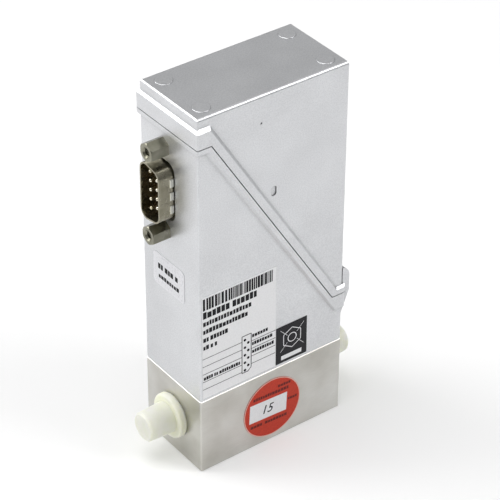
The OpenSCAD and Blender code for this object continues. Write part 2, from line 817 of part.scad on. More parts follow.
module type_label() color([0.92, 0.92, 0.93]) on_side()
    translate([-half_l + corner_r, label_low, 0]) cube([type_l - corner_r, 32.7, label_t]);

module symbol_label() color([0.10, 0.10, 0.11]) on_side()
    translate([-half_l + type_l + 0.2, label_low, 0]) cube([10.3, 12.1, label_t]);

module signal_label() color([0.90, 0.90, 0.91]) translate([-half_l - label_t, 1, 57])
    rotate([90, 0, 90]) linear_extrude(label_t) round_rect(13.8, 10, 1.4);

module round_label() color([0.75, 0.22, 0.15]) translate([0.1, -half_w, 11.2])
    rotate([90, 0, 0]) cylinder(r = round_label_r, h = label_t);

// ---------------------------------------------------------------- assembly

base_block();
inlet_cap();
outlet_cap();
inlet_screen();
screen_ring();
flow_core();
core_nut();
sensor_block();
sensor_seals();
sensor_tube();
winding_upstream();
winding_downstream();
sensor_cover();
sensor_screws();
sensor_flex();
lower_housing();
upper_cover();
housing_screws();
cover_screw();
main_board();
board_screws();
processor_chip();
amplifier_chip();
regulator_chip();
capacitors();
crystal_can();
sensor_header();
plug_shell();
plug_insulator();
plug_pins();
jackscrew_upper();
jackscrew_lower();
jackscrew_nuts();
type_label();
symbol_label();
signal_label();
round_label();
for (i = [1:disc_n])
    flow_disc(i);
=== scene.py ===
# %% [markdown]
# # A compact thermal mass flow meter
#
# This lesson dresses a measuring instrument for gases: a ground steel base with
# capped ports, two silver castings that meet at a stepped, sloping seam, a
# nine-pin connector and four printed labels. The construction comes in as a
# fixed frame. What is added here is finish: materials, print, threads and light.

# %% Load the frame
import math

import bmesh
import bpy
from mathutils import Matrix, Vector


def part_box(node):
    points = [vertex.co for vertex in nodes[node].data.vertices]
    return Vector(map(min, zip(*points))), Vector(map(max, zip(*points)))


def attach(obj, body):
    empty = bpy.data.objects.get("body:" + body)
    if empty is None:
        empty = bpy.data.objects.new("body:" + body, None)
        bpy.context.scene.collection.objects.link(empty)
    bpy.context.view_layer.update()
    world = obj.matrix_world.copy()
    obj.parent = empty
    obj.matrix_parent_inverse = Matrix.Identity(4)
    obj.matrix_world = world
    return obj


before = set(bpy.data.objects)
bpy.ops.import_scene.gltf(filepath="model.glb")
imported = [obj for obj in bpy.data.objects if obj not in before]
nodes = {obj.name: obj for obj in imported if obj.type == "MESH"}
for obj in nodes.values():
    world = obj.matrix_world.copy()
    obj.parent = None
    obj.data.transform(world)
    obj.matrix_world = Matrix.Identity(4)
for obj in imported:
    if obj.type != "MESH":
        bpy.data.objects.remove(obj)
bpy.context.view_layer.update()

MM = 0.001
scene = bpy.context.scene

# %% [markdown]
# ## Camera
# The meter is seen from its connector side, a little from above, through a
# fairly long lens. A long lens keeps the upright edges nearly parallel, as in
# catalogue pictures. The camera is placed by two angles and a distance around a
# point inside the body, then turned by a hair so that the body sits in the frame.

# %% Camera
IMAGE_PX = 500
FOCAL_PX = 2246.4
AZIMUTH = math.radians(-36.84)
ELEVATION = math.radians(35.43)
ROLL = math.radians(0.21)
DISTANCE = 590.3 * MM
AIM = Vector((0, 0, 55.5)) * MM
PAN = math.atan2(-5.52, FOCAL_PX)
TILT = math.atan2(1.84, FOCAL_PX)


def make_camera():
    """A camera that looks at AIM, rolled, then panned and tilted about its own axes."""
    back = Vector((math.sin(AZIMUTH) * math.cos(ELEVATION),
                   -math.cos(AZIMUTH) * math.cos(ELEVATION),
                   math.sin(ELEVATION)))
    right = (-back).cross(Vector((0, 0, 1))).normalized()
    up = right.cross(-back)
    turn = Matrix.Rotation(ROLL, 3, back)
    right, up = turn @ right, turn @ up
    for axis, angle in ((up.copy(), PAN), (None, TILT)):
        swing = Matrix.Rotation(angle, 3, axis or right.copy())
        back, right, up = swing @ back, swing @ right, swing @ up
    data = bpy.data.cameras.new("camera")
    data.sensor_width = 36
    data.lens = FOCAL_PX / IMAGE_PX * data.sensor_width
    data.clip_start, data.clip_end = 0.05, 20
    camera = bpy.data.objects.new("camera", data)
    scene.collection.objects.link(camera)
    spot = AIM + DISTANCE * Vector((math.sin(AZIMUTH) * math.cos(ELEVATION),
                                    -math.cos(AZIMUTH) * math.cos(ELEVATION),
                                    math.sin(ELEVATION)))
    facing = Matrix((right, up, back)).transposed().to_4x4()
    camera.matrix_world = Matrix.Translation(spot) @ facing
    scene.camera = camera
    return camera


camera = make_camera()
print("lens", round(camera.data.lens, 1), "mm, camera", [round(v, 3) for v in camera.location], "m")

# %% [markdown]
# ## Node helpers
# Every finish below is a small network of shader nodes that reads Object
# coordinates, so a pattern stays on its piece however the piece is turned. Four
# helpers keep the networks short: a fresh material, a noise stretched along an
# axis, a colour ramp, and a bump. Scales are given as the size of a grain in
# millimetres, because that is what one can measure on the real surface.

# %% Node helpers


def fresh_material(name, metallic=0.0, roughness=0.5):
    """A material with only a Principled shader; returns it, its tree and the shader."""
    material = bpy.data.materials.new(name)
    material.use_nodes = True
    tree = material.node_tree
    tree.nodes.clear()
    output = tree.nodes.new("ShaderNodeOutputMaterial")
    shader = tree.nodes.new("ShaderNodeBsdfPrincipled")
    shader.inputs["Metallic"].default_value = metallic
    shader.inputs["Roughness"].default_value = roughness
    tree.links.new(shader.outputs["BSDF"], output.inputs["Surface"])
    return material, tree, shader


def object_coordinates(tree, stretch=(1, 1, 1)):
    """Object coordinates, squeezed along each axis by the factors in stretch."""
    coordinates = tree.nodes.new("ShaderNodeTexCoord")
    mapping = tree.nodes.new("ShaderNodeMapping")
    mapping.inputs["Scale"].default_value = stretch
    tree.links.new(coordinates.outputs["Object"], mapping.inputs["Vector"])
    return mapping.outputs["Vector"]


def noise(tree, grain_mm, detail=2.0, stretch=(1, 1, 1)):
    """Noise whose grains are about grain_mm across."""
    texture = tree.nodes.new("ShaderNodeTexNoise")
    texture.inputs["Scale"].default_value = 1 / (grain_mm * MM)
    texture.inputs["Detail"].default_value = detail
    tree.links.new(object_coordinates(tree, stretch), texture.inputs["Vector"])
    return texture.outputs["Fac"]


def ramp(tree, value, stops):
    """A colour ramp from (place, grey or colour) stops."""
    node = tree.nodes.new("ShaderNodeValToRGB")
    elements = node.color_ramp.elements
    while len(elements) < len(stops):
        elements.new(0.5)
    for element, (place, tone) in zip(elements, stops):
        element.position = place
        element.color = (*tone, 1) if isinstance(tone, tuple) else (tone, tone, tone, 1)
    tree.links.new(value, node.inputs["Fac"])
    return node.outputs["Color"]


def mix(tree, kind, share, first, second):
    """Mixes two colours, given as sockets or as plain colours."""
    node = tree.nodes.new("ShaderNodeMix")
    node.data_type = "RGBA"
    node.blend_type = kind
    colours = [socket for socket in node.inputs if socket.type == "RGBA"]
    factor = next(socket for socket in node.inputs if socket.name == "Factor" and socket.type == "VALUE")
    for target, source in ((factor, share), (colours[0], first), (colours[1], second)):
        if isinstance(source, bpy.types.NodeSocket):
            tree.links.new(source, target)
        else:
            target.default_value = (*source, 1) if isinstance(source, tuple) else source
    return next(socket for socket in node.outputs if socket.type == "RGBA")


def bump(tree, shader, heights, depth_mm, strength=1.0):
    """Lays heights on the shader as relief; further calls add to it."""
    node = tree.nodes.new("ShaderNodeBump")
    node.inputs["Strength"].default_value = strength
    node.inputs["Distance"].default_value = depth_mm * MM
    tree.links.new(heights, node.inputs["Height"])
    earlier = shader.inputs["Normal"].links
    if earlier:
        tree.links.new(earlier[0].from_socket, node.inputs["Normal"])
    tree.links.new(node.outputs["Normal"], shader.inputs["Normal"])


def painted_crevice_shade(tree, reach_mm, stops):
    """Painted shade for inner corners: darker tones where a point of the piece loses more of the sky to its
    own walls.
    """
    node = tree.nodes.new("ShaderNodeAmbientOcclusion")
    node.only_local = True
    node.samples = 8
    node.inputs["Distance"].default_value = reach_mm * MM
    return ramp(tree, node.outputs["AO"], stops)


def dress(material, *names):
    """Puts a material in every slot of the named CAD nodes."""
    for name in names:
        slots = nodes[name].data.materials
        for index in range(max(1, len(slots))):
            if index < len(slots):
                slots[index] = material
            else:
                slots.append(material)


print("helpers ready")

# %% [markdown]
# ## Silver castings
# The housing and its cover are thin-walled castings with a satin silver skin.
# Close up, the skin has a fine speckle, a few broad clouds where it was handled,
# and hardly any gloss. A metallic shader with medium roughness does this: the
# speckle goes into colour, roughness and a very low bump, so that it still reads
# when the light changes. A plain painted grey would look dead beside the steel.
# Painted shade darkens the colour in the inner corners and creases.

# %% Silver castings


def silver_casting():
    material, tree, shader = fresh_material("silver_casting", metallic=0.82, roughness=0.4)
    speckle = noise(tree, 0.35, detail=3)
    clouds = noise(tree, 14, detail=3)
    tone = ramp(tree, speckle, [(0.3, (0.640, 0.648, 0.665)), (0.7, (0.770, 0.778, 0.795))])
    veil = ramp(tree, clouds, [(0.35, 0.93), (0.65, 1.0)])
    skin = mix(tree, "MULTIPLY", 1.0, tone, veil)
    # Painted shade: the colour darkens in inner corners and creases, where the piece hides the sky from
    # itself.
    crease_shade = painted_crevice_shade(tree, 1.4, [(0.55, 0.45), (0.80, 0.80), (0.97, 1.0)])
    tree.links.new(mix(tree, "MULTIPLY", 1.0, skin, crease_shade), shader.inputs["Base Color"])
    tree.links.new(ramp(tree, speckle, [(0.25, 0.32), (0.75, 0.44)]), shader.inputs["Roughness"])
    bump(tree, shader, speckle, 0.012, 0.5)
    bump(tree, shader, noise(tree, 3.0, detail=1), 0.02, 0.35)
    return material


dress(silver_casting(), "lower_housing", "upper_cover")
print("castings dressed")

# %% [markdown]
# ## Ground steel base
# The base is a bar of stainless steel, ground along its length and handled
# since. Ground steel mirrors its surroundings in streaks: the grinding lines are
# a noise stretched strongly along the bar, and broad soft smudges change both
# its colour and its roughness.

# %% Ground steel base


def ground_steel():
    material, tree, shader = fresh_material("ground_steel", metallic=1.0, roughness=0.34)
    lines = noise(tree, 0.09, detail=4, stretch=(0.035, 1, 1))
    smudges = noise(tree, 15, detail=3)
    tone = ramp(tree, smudges, [(0.30, (0.50, 0.485, 0.445)), (0.55, (0.630, 0.620, 0.585)),
                                (0.75, (0.70, 0.695, 0.67))])
    grain = ramp(tree, lines, [(0.3, 0.90), (0.7, 1.0)])
    tree.links.new(mix(tree, "MULTIPLY", 1.0, tone, grain), shader.inputs["Base Color"])
    tree.links.new(ramp(tree, smudges, [(0.3, 0.42), (0.7, 0.28)]), shader.inputs["Roughness"])
    bump(tree, shader, lines, 0.004, 0.5)
    return material


steel = ground_steel()
dress(steel, "base_block")
print("base dressed")

# %% [markdown]
# ## Port caps
# The caps are moulded from natural polyethylene, which is milky and a little
# green. Light enters it and comes out softened, so the shader gets a good share
# of subsurface scattering with a short radius, and a waxy, uneven roughness.

# %% Port caps


def milky_plastic():
    material, tree, shader = fresh_material("milky_plastic", roughness=0.42)
    haze = noise(tree, 2.5, detail=2)
    tree.links.new(ramp(tree, haze, [(0.3, (0.90, 0.94, 0.70)), (0.7, (0.96, 0.98, 0.79))]),
                   shader.inputs["Base Color"])
    shader.inputs["Subsurface Weight"].default_value = 1.0
    shader.inputs["Subsurface Radius"].default_value = (1.0, 1.0, 0.8)
    shader.inputs["Subsurface Scale"].default_value = 2.4 * MM
    shader.inputs["IOR"].default_value = 1.5
    tree.links.new(ramp(tree, haze, [(0.3, 0.36), (0.7, 0.5)]), shader.inputs["Roughness"])
    bump(tree, shader, noise(tree, 0.8, detail=1), 0.02, 0.3)
    return material


dress(milky_plastic(), "inlet_cap", "outlet_cap")
print("caps dressed")

# %% [markdown]
# ## Connector and jackscrews
# The shell is drawn steel with a dull nickel plate that has yellowed, the
# insulator behind the contacts is dark brown moulding, and the contacts are
# bright at their tips. The plate's tarnish is noise between two tones, and a
# painted highlight makes it brighter on the small pads that grip the mating
# shell. The insulator gets a low gloss so that the inside of the shell doesn't go flat.

# %% Connector and jackscrews


def plated_metal(name, dull, bright, roughness, grain_mm=1.2):
    material, tree, shader = fresh_material(name, metallic=1.0, roughness=roughness)
    tarnish = noise(tree, grain_mm, detail=2)
    tree.links.new(ramp(tree, tarnish, [(0.25, dull), (0.75, bright)]), shader.inputs["Base Color"])
    tree.links.new(ramp(tree, tarnish, [(0.3, roughness + 0.04), (0.7, roughness - 0.03)]),
                   shader.inputs["Roughness"])
    bump(tree, shader, noise(tree, 0.15, detail=2), 0.004, 0.5)
    return material


def paint_highlight_beyond_y(material, beyond_y_mm, tone):
    """Paints a highlight: a brighter tone on all that stands out further along -Y than the given place."""
    tree = material.node_tree
    shader = next(node for node in tree.nodes if node.type == "BSDF_PRINCIPLED")
    split, mask = tree.nodes.new("ShaderNodeSeparateXYZ"), tree.nodes.new("ShaderNodeMath")
    mask.operation = "LESS_THAN"
    mask.inputs[1].default_value = beyond_y_mm * MM
    tree.links.new(object_coordinates(tree), split.inputs[0])
    tree.links.new(split.outputs["Y"], mask.inputs[0])
    colour = shader.inputs["Base Color"]
    tree.links.new(mix(tree, "MIX", mask.outputs[0], colour.links[0].from_socket, tone), colour)


def moulding(name, dark, light, roughness, grain_mm=0.3):
    material, tree, shader = fresh_material(name, roughness=roughness)
    grain = noise(tree, grain_mm, detail=3)
    tree.links.new(ramp(tree, grain, [(0.3, dark), (0.7, light)]), shader.inputs["Base Color"])
    tree.links.new(ramp(tree, grain, [(0.3, roughness - 0.06), (0.7, roughness + 0.06)]),
                   shader.inputs["Roughness"])
    bump(tree, shader, grain, 0.006, 0.4)
    return material


dull_nickel = plated_metal("dull_nickel", (0.27, 0.25, 0.18), (0.38, 0.36, 0.28), 0.27, grain_mm=2.6)
# Painted highlight: all of the shell beyond 2 mm along -Y gets a brighter tone.
paint_highlight_beyond_y(dull_nickel, -2.0, (0.58, 0.58, 0.52))
dress(dull_nickel, "plug_shell")
olive_nickel = plated_metal("olive_nickel", (0.20, 0.195, 0.145), (0.30, 0.29, 0.235), 0.3, grain_mm=2.6)
dress(olive_nickel, "jackscrew_upper", "jackscrew_lower", "jackscrew_nuts")
dress(moulding("brown_insulator", (0.085, 0.048, 0.014), (0.130, 0.076, 0.026), 0.35), "plug_insulator")
dress(plated_metal("bright_contacts", (0.72, 0.66, 0.46), (0.90, 0.88, 0.78), 0.22), "plug_pins")
print("connector dressed")

# %% [markdown]
# ## Pieces inside
# Closed castings hide the sensor, the laminar element and the board, but each
# piece still carries its true finish, for anyone who opens the model: turned
# steel, copper wire, black seals, green lacquer and dull black packages.

# %% Pieces inside
turned_steel = plated_metal("turned_steel", (0.50, 0.50, 0.50), (0.62, 0.62, 0.62), 0.28, grain_mm=0.6)
discs = [name for name in nodes if name.startswith("flow_disc_")]
dress(turned_steel, "inlet_screen", "flow_core", "core_nut", "sensor_block", "sensor_tube",
      "cover_screw", "board_screws", *discs)
dress(plated_metal("black_oxide", (0.05, 0.05, 0.055), (0.09, 0.09, 0.10), 0.4), "screen_ring",
      "sensor_screws", "housing_screws")
dress(plated_metal("copper_wire", (0.52, 0.22, 0.09), (0.70, 0.34, 0.16), 0.3, grain_mm=0.3),
      "winding_upstream", "winding_downstream")
dress(plated_metal("satin_aluminium", (0.60, 0.61, 0.63), (0.72, 0.73, 0.75), 0.36), "sensor_cover",
      "capacitors", "crystal_can")
dress(moulding("seal_rubber", (0.015, 0.015, 0.015), (0.03, 0.03, 0.03), 0.65), "sensor_seals")
dress(moulding("amber_film", (0.42, 0.18, 0.02), (0.55, 0.27, 0.05), 0.3), "sensor_flex")
dress(moulding("green_lacquer", (0.015, 0.13, 0.04), (0.03, 0.19, 0.07), 0.35, grain_mm=1.0), "main_board")
dress(moulding("chip_black", (0.02, 0.02, 0.022), (0.04, 0.04, 0.043), 0.5), "processor_chip",
      "amplifier_chip", "regulator_chip")
dress(moulding("header_ivory", (0.68, 0.64, 0.52), (0.78, 0.75, 0.66), 0.45), "sensor_header")
print("inner pieces dressed")

# %% [markdown]
# ## Label stock
# All four labels are printed film with a faint sheen. The film takes tiny
# unevenness from the glue under it, so a low bump of a few millimetres breaks up
# its highlight. Print is a thin raised layer of ink with its own, duller finish.

# %% Label stock


def film(name, low, high, roughness, gloss=0.5):
    material, tree, shader = fresh_material(name, roughness=roughness)
    shader.inputs["Specular IOR Level"].default_value = gloss
    fibres = noise(tree, 0.5, detail=3)
    tree.links.new(ramp(tree, fibres, [(0.3, low), (0.7, high)]), shader.inputs["Base Color"])
    tree.links.new(ramp(tree, fibres, [(0.3, roughness - 0.05), (0.7, roughness + 0.07)]),
                   shader.inputs["Roughness"])
    bump(tree, shader, noise(tree, 4.0, detail=1), 0.03, 0.3)
    return material


white_film = film("white_film", (0.86, 0.86, 0.875), (0.93, 0.93, 0.94), 0.38)
black_film = film("black_film", (0.008, 0.008, 0.010), (0.018, 0.018, 0.021), 0.45, gloss=0.22)
red_film = film("red_film", (0.50, 0.030, 0.010), (0.60, 0.046, 0.018), 0.5, gloss=0.3)
clear_film = film("clear_film", (0.74, 0.74, 0.77), (0.82, 0.82, 0.85), 0.3)
pale_ink = film("pale_ink", (0.80, 0.80, 0.82), (0.88, 0.88, 0.89), 0.45)
dark_ink = film("dark_ink", (0.006, 0.006, 0.008), (0.014, 0.014, 0.017), 0.6, gloss=0.2)
maroon_ink = film("maroon_ink", (0.10, 0.008, 0.006), (0.15, 0.014, 0.010), 0.5, gloss=0.25)
pink_ink = film("pink_ink", (0.70, 0.42, 0.36), (0.78, 0.50, 0.43), 0.45)
dress(white_film, "type_label")
dress(black_film, "symbol_label")
dress(red_film, "round_label")
dress(clear_film, "signal_label")
print("labels dressed")

# %% [markdown]
# ## A drawing plane on each label
# Print has to lie exactly on its label, and the labels follow walls that lean in
# by a fraction of a degree. Instead of repeating that angle, a helper reads each
# label's outer face from the frame and returns a flat plane on it: the origin at
# the lower left corner, x to the right, y up and z out of the wall. Drawings are
# then made in millimetres on that plane.

# %% Drawing planes


def drawing_plane(name, outward):
    """Matrix from millimetres on a label's outer face to the frame, and the face's width and height."""
    mesh = nodes[name].data
    normal, corners = Vector(), []
    for face in mesh.polygons:
        if face.normal.dot(outward) > 0.99:
            normal += face.normal * face.area
            corners += [mesh.vertices[index].co.copy() for index in face.vertices]
    normal.normalize()
    right = Vector((0, 0, 1)).cross(normal).normalized()
    up = normal.cross(right)
    left = min(point.dot(right) for point in corners)
    bottom = min(point.dot(up) for point in corners)
    width = max(point.dot(right) for point in corners) - left
    height = max(point.dot(up) for point in corners) - bottom
    origin = right * left + up * bottom + normal * corners[0].dot(normal)
    axes = Matrix((right, up, normal)).transposed().to_4x4()
    return Matrix.Translation(origin) @ axes @ Matrix.Scale(MM, 4), width / MM, height / MM


SIDE, FRONT = Vector((0, -1, 0)), Vector((-1, 0, 0))
type_plane, type_w, type_h = drawing_plane("type_label", SIDE)
symbol_plane, symbol_w, symbol_h = drawing_plane("symbol_label", SIDE)
round_plane, round_w, round_h = drawing_plane("round_label", SIDE)
signal_plane, signal_w, signal_h = drawing_plane("signal_label", FRONT)
print("type label", round(type_w, 1), "x", round(type_h, 1), "mm; signal label",
      round(signal_w, 1), "x", round(signal_h, 1), "mm")

# %% [markdown]
# ## Ink from outlines
# Lines, dots, boxes and windows are flat outlines. The helper raises each
# outline into a closed slab of ink a few hundredths of a millimetre thick, sunk a
# little into the film so that no two faces lie in the same plane. Slabs of one
# colour on one label become one piece.

# %% Ink from outlines
INK_MM = 0.02
SUNK_MM = 0.01
root_pieces = []


def as_piece(name, mesh, material):
    """A finished piece: its place is in its mesh, it rides on the body and names its finish."""
    mesh.name = name
    mesh.materials.clear()
    mesh.materials.append(material)
    piece = bpy.data.objects.new(name, mesh)
    scene.collection.objects.link(piece)
    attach(piece, "root")
    root_pieces.append(piece)
    return piece


def ink(name, outlines, plane, material, height=INK_MM):
    """Raises closed outlines, given anticlockwise in millimetres, into slabs on a plane."""
    build = bmesh.new()
    for outline in outlines:
        low = [build.verts.new((x, y, -SUNK_MM)) for x, y in outline]
        high = [build.verts.new((x, y, height)) for x, y in outline]
        build.faces.new(high)
        build.faces.new(low[::-1])
        for index, corner in enumerate(low):
            after = (index + 1) % len(low)
            build.faces.new((corner, low[after], high[after], high[index]))
    mesh = bpy.data.meshes.new(name)
    build.to_mesh(mesh)
    build.free()
    mesh.transform(plane)
    return as_piece(name, mesh, material)


def box_outline(x, y, width, height):
    return [(x, y), (x + width, y), (x + width, y + height), (x, y + height)]


def stroke(start, end, width):
    """A line of a given width as an outline."""
    run = Vector(end) - Vector(start)
    side = Vector((-run.y, run.x)).normalized() * width / 2
    return [tuple(Vector(start) - side), tuple(Vector(end) - side), tuple(Vector(end) + side),
            tuple(Vector(start) + side)]


def disc_outline(x, y, radius, sides=48):
    return [(x + radius * math.cos(2 * math.pi * k / sides), y + radius * math.sin(2 * math.pi * k / sides))
            for k in range(sides)]


print("ink is", INK_MM, "mm thick")

# %% [markdown]
# ## Rows of print, grown by a rule
# The label carries a bar code and rows of small type. Neither is copied: both
# are rows of blocks that follow one rule, which makes them a natural case for
# Geometry Nodes. A line of points gets a random width and gap at each point, a
# running total turns these into places, and the row is scaled to its length. A
# bar code is such a row with full-height blocks; small type is one with low
# blocks of uneven height and, now and then, a wider gap between words. Two seeds
# are inputs, so each row is its own and stays the same on every run.

# %% Row of print


def print_row_tree():
    """Geometry Nodes tree: a row of upright blocks of random width, gap and height."""
    tree = bpy.data.node_groups.new("print_row", "GeometryNodeTree")
    face = tree.interface
    face.new_socket("Geometry", in_out="OUTPUT", socket_type="NodeSocketGeometry")
    for label, kind, value in (("Blocks", "Int", 30), ("Length", "Float", 0.02), ("Height", "Float", 0.003),
                               ("Lowest", "Float", 1.0), ("Thickness", "Float", 3e-5),
                               ("Narrowest", "Float", 1.0), ("Widest", "Float", 4.0),
                               ("Gap", "Float", 1.0), ("Word gap", "Float", 1.0),
                               ("Word share", "Float", 0.0), ("Seed", "Int", 1)):
        face.new_socket(label, in_out="INPUT", socket_type="NodeSocket" + kind).default_value = value
    face.new_socket("Material", in_out="INPUT", socket_type="NodeSocketMaterial")
    link, add = tree.links.new, tree.nodes.new
    given = add("NodeGroupInput").outputs

    def maths(kind, first, second):
        node = add("ShaderNodeMath")
        node.operation = kind
        for socket, value in zip(node.inputs, (first, second)):
            if isinstance(value, bpy.types.NodeSocket):
                link(value, socket)
            else:
                socket.default_value = value
        return node.outputs[0]

    def chance(low, high, offset):
        node = add("FunctionNodeRandomValue")
        node.data_type = "FLOAT"
        for socket, value in ((node.inputs[2], low), (node.inputs[3], high)):
            if isinstance(value, bpy.types.NodeSocket):
                link(value, socket)
            else:
                socket.default_value = value
        link(maths("ADD", given["Seed"], offset), node.inputs["Seed"])
        return node.outputs[1]

    def total(value):
        node = add("GeometryNodeAccumulateField")
        node.data_type = "FLOAT"
        link(value, node.inputs[0])
        return node

    points = add("GeometryNodeMeshLine")
    link(given["Blocks"], points.inputs["Count"])
    width = chance(given["Narrowest"], given["Widest"], 0)
    wide = maths("LESS_THAN", chance(0.0, 1.0, 100), given["Word share"])
    gap = maths("ADD", given["Gap"], maths("MULTIPLY", wide, given["Word gap"]))
    running = total(maths("ADD", width, gap))
    scale = maths("DIVIDE", given["Length"], running.outputs["Total"])
    place = maths("MULTIPLY", maths("ADD", running.outputs["Trailing"], maths("MULTIPLY", width, 0.5)), scale)
    tall = maths("MULTIPLY", chance(given["Lowest"], 1.0, 200), given["Height"])
    position = add("ShaderNodeCombineXYZ")
    link(place, position.inputs["X"])
    link(maths("MULTIPLY", tall, 0.5), position.inputs["Y"])
    size = add("ShaderNodeCombineXYZ")
    link(maths("MULTIPLY", width, scale), size.inputs["X"])
    link(tall, size.inputs["Y"])
    link(given["Thickness"], size.inputs["Z"])
    settle = add("GeometryNodeSetPosition")
    link(points.outputs["Mesh"], settle.inputs["Geometry"])
    link(position.outputs[0], settle.inputs["Position"])
    block = add("GeometryNodeMeshCube")
    scatter = add("GeometryNodeInstanceOnPoints")
    link(settle.outputs["Geometry"], scatter.inputs["Points"])
    link(block.outputs["Mesh"], scatter.inputs["Instance"])
    link(size.outputs[0], scatter.inputs["Scale"])
    solid = add("GeometryNodeRealizeInstances")
    link(scatter.outputs["Instances"], solid.inputs["Geometry"])
    finish = add("GeometryNodeSetMaterial")
    link(solid.outputs["Geometry"], finish.inputs["Geometry"])
    link(given["Material"], finish.inputs["Material"])
    link(finish.outputs["Geometry"], add("NodeGroupOutput").inputs[0])
    return tree


def grow(tree, values):
    """Runs a tree on an empty host and returns the result as a plain mesh."""
    host = bpy.data.objects.new("host", bpy.data.meshes.new("host"))
    scene.collection.objects.link(host)
    modifier = host.modifiers.new("grow", "NODES")
    modifier.node_group = tree
    for item in tree.interface.items_tree:
        if item.in_out == "INPUT" and item.name in values:
            modifier[item.identifier] = values[item.name]
    bpy.context.view_layer.update()
    depsgraph = bpy.context.evaluated_depsgraph_get()
    mesh = bpy.data.meshes.new_from_object(host.evaluated_get(depsgraph))
    bpy.data.objects.remove(host)
    return mesh


print_row = print_row_tree()


def rows(name, plane, material, slot, *lines):
    """Grows one row per line of values, places each on the plane and joins them to a piece."""
    build = bmesh.new()
    for line in lines:
        mesh = grow(print_row, {
            "Blocks": line["blocks"], "Length": line["length"], "Height": line["height"],
            "Lowest": line.get("lowest", 1.0), "Thickness": INK_MM + SUNK_MM,
            "Narrowest": line.get("narrowest", 1.0), "Widest": line.get("widest", 3.0),
            "Gap": line.get("gap", 1.0), "Word gap": line.get("word_gap", 0.0),
            "Word share": line.get("word_share", 0.0), "Seed": line["seed"], "Material": material})
        turn = Matrix.Rotation(line.get("angle", 0.0), 4, "Z")
        mesh.transform(Matrix.Translation((line["x"], line["y"], (INK_MM - SUNK_MM) / 2)) @ turn)
        build.from_mesh(mesh)
        bpy.data.meshes.remove(mesh)
    joined = bpy.data.meshes.new(name)
    build.to_mesh(joined)
    build.free()
    joined.transform(plane)
    piece = as_piece(name, joined, material)
    print(name, "has", len(joined.polygons) // 6, "blocks")
    return piece


# %% [markdown]
# ## Type label
# The film has a bar code along its top, five rows of type below it, the first
# one larger, and a wiring drawing at the foot. The drawing is kept, because it
# shows what the instrument is: the nine contacts in two rows inside a tall box
# with a cut corner, and a lead from each contact to the label's edge.

# %% Type label: bar code and rows
LABEL_X = 0.7   # from the connector face to the label's left edge
LABEL_Z = 24.9  # height of its lower edge
CHARACTER = dict(narrowest=1.6, widest=2.6, gap=0.5, lowest=0.80)


def on_label(x, z):
    return x - LABEL_X, z - LABEL_Z


def type_row(x0, x1, z0, z1, blocks, seed, **more):
    """A row between x0 and x1 along the meter and z0 and z1 in height."""
    x, y = on_label(x0, z0)
    return {**CHARACTER, "x": x, "y": y, "length": x1 - x0, "height": z1 - z0, "blocks": blocks,
            "seed": seed, **more}


rows("bar_code", type_plane, dark_ink, "label_black",
     type_row(1.0, 23.7, 53.4, 57.1, 31, 3, narrowest=0.7, widest=3.4, gap=0.85, lowest=1.0,
              word_gap=0.9, word_share=0.25))
rows("type_rows", type_plane, dark_ink, "label_black",
     type_row(1.0, 18.4, 50.8, 53.0, 12, 5, word_gap=1.4, word_share=0.12),
     type_row(1.0, 16.6, 48.4, 49.9, 16, 7, gap=0.6),
     type_row(1.0, 15.4, 45.9, 47.4, 14, 8, word_gap=1.2, word_share=0.12),
     type_row(1.0, 9.0, 43.3, 44.8, 8, 12, word_gap=1.0, word_share=0.2),
     type_row(1.0, 5.9, 40.8, 42.2, 4, 15, word_gap=1.0, word_share=0.3),
     type_row(1.0, 12.9, 30.9, 32.0, 15, 21, word_gap=1.0, word_share=0.15),
     type_row(16.7, 22.0, 38.0, 39.1, 6, 22),
     type_row(16.7, 23.5, 35.4, 36.5, 8, 24),
     type_row(16.7, 24.0, 32.8, 33.9, 9, 26, word_gap=0.8, word_share=0.2))

# %% [markdown]
# The wiring drawing is plain line work: strokes and dots. Their places follow
# from the pitch of the drawn contacts, so two short loops hold it all.

# %% Type label: wiring drawing
BOX_X0, BOX_X1, BOX_Z0, BOX_Z1 = 13.4, 16.4, 27.5, 39.6
CONTACT_TOP, CONTACT_STEP = 38.2, 2.5
CUT = 1.0
LINE = 0.16


def wiring_drawing():
    left, right = BOX_X0 + 0.95, BOX_X1 - 0.95
    corners = [(BOX_X0, BOX_Z0), (BOX_X1 - CUT, BOX_Z0), (BOX_X1, BOX_Z0 + CUT), (BOX_X1, BOX_Z1),
               (BOX_X0, BOX_Z1)]
    shapes = [stroke(on_label(*a), on_label(*b), LINE * 1.4)
              for a, b in zip(corners, corners[1:] + corners[:1])]
    for k in range(5):
        z = CONTACT_TOP - k * CONTACT_STEP
        shapes.append(disc_outline(*on_label(left, z), 0.42, 20))
        shapes.append(stroke(on_label(LABEL_X, z - 0.3), on_label(BOX_X0, z - 0.3), LINE))
    for k in range(4):
        z = CONTACT_TOP - (k + 0.5) * CONTACT_STEP
        shapes.append(disc_outline(*on_label(right, z), 0.42, 20))
        shapes.append(stroke(on_label(BOX_X1, z), on_label(24.4, z), LINE))
    return shapes


ink("wiring_drawing", wiring_drawing(), type_plane, dark_ink)
print("wiring drawing done")

# %% [markdown]
# ## Dark label
# Beside it sits a small dark label with thin white line work and a white bar. Its
# motif here is plain geometry: a hexagon around a ring, and two thin rays.

# %% Dark label
MOTIF = (symbol_w * 0.52, symbol_h * 0.60)


def hexagon(radius, width):
    points = [(MOTIF[0] + radius * math.cos(math.radians(60 * k + 30)),
               MOTIF[1] + radius * math.sin(math.radians(60 * k + 30))) for k in range(6)]
    return [stroke(a, b, width) for a, b in zip(points, points[1:] + points[:1])]


def ring_band(x, y, radius, width, sides=36):
    """A ring cut into flat quads."""
    inner, outer = disc_outline(x, y, radius - width, sides), disc_outline(x, y, radius, sides)
    return [[outer[k], outer[(k + 1) % sides], inner[(k + 1) % sides], inner[k]] for k in range(sides)]


